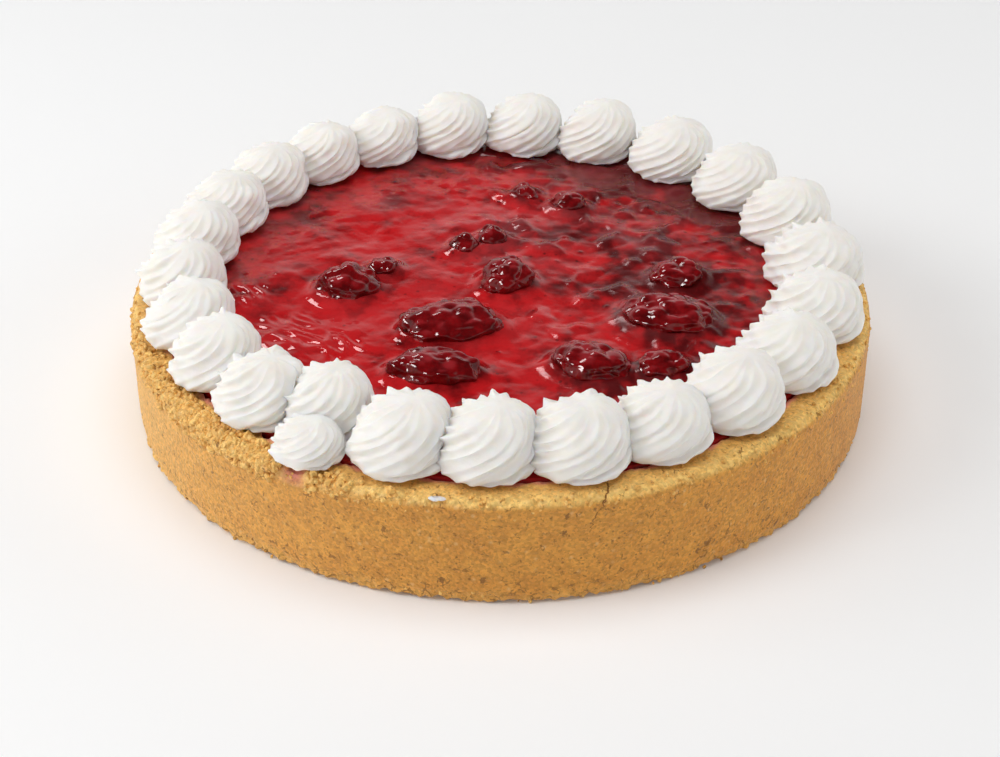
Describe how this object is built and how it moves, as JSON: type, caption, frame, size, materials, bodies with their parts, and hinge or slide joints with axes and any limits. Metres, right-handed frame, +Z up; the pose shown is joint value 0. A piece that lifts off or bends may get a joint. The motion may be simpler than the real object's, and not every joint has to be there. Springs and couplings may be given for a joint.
{
  "type": "baked cheesecake",
  "caption": "Round baked cheesecake: crumb crust filled to the rim, glossy red berry topping with half-sunk berries, ring of piped cream swirls.",
  "frame": {"origin": "centre of the cake's flat base, on the surface it stands on", "axes": "+Z up through the middle of the cake; -Y is the side with the crack, towards the picture's camera"},
  "size_m": [0.2298, 0.23, 0.0522],
  "materials": {
    "crumb_crust": "baked biscuit crumb, matte, golden tan, fine pores and crumbs",
    "berry_jelly": "wet glossy red fruit jelly, darker where it is thick",
    "berry_fruit": "dark wine-red berries under a wet glaze",
    "whipped_cream": "soft matte whipped cream, warm white"
  },
  "bodies": {
    "root": {"berry_01": "berry_fruit", "berry_02": "berry_fruit", "berry_03": "berry_fruit", "berry_04": "berry_fruit", "berry_05": "berry_fruit", "berry_06": "berry_fruit", "berry_07": "berry_fruit", "berry_08": "berry_fruit", "berry_09": "berry_fruit", "berry_10": "berry_fruit", "berry_11": "berry_fruit", "berry_12": "berry_fruit", "berry_13": "berry_fruit", "berry_topping": "berry_jelly", "cream_swirl_01": "whipped_cream", "cream_swirl_02": "whipped_cream", "cream_swirl_03": "whipped_cream", "cream_swirl_04": "whipped_cream", "cream_swirl_05": "whipped_cream", "cream_swirl_06": "whipped_cream", "cream_swirl_07": "whipped_cream", "cream_swirl_08": "whipped_cream", "cream_swirl_09": "whipped_cream", "cream_swirl_10": "whipped_cream", "cream_swirl_11": "whipped_cream", "cream_swirl_12": "whipped_cream", "cream_swirl_13": "whipped_cream", "cream_swirl_14": "whipped_cream", "cream_swirl_15": "whipped_cream", "cream_swirl_16": "whipped_cream", "cream_swirl_17": "whipped_cream", "cream_swirl_18": "whipped_cream", "cream_swirl_19": "whipped_cream", "cream_swirl_20": "whipped_cream", "cream_swirl_21": "whipped_cream", "cream_swirl_22": "whipped_cream", "cream_swirl_23": "whipped_cream", "cream_swirl_24": "whipped_cream", "cream_swirl_25": "whipped_cream", "crust": "crumb_crust"}
  },
  "joints": []
}
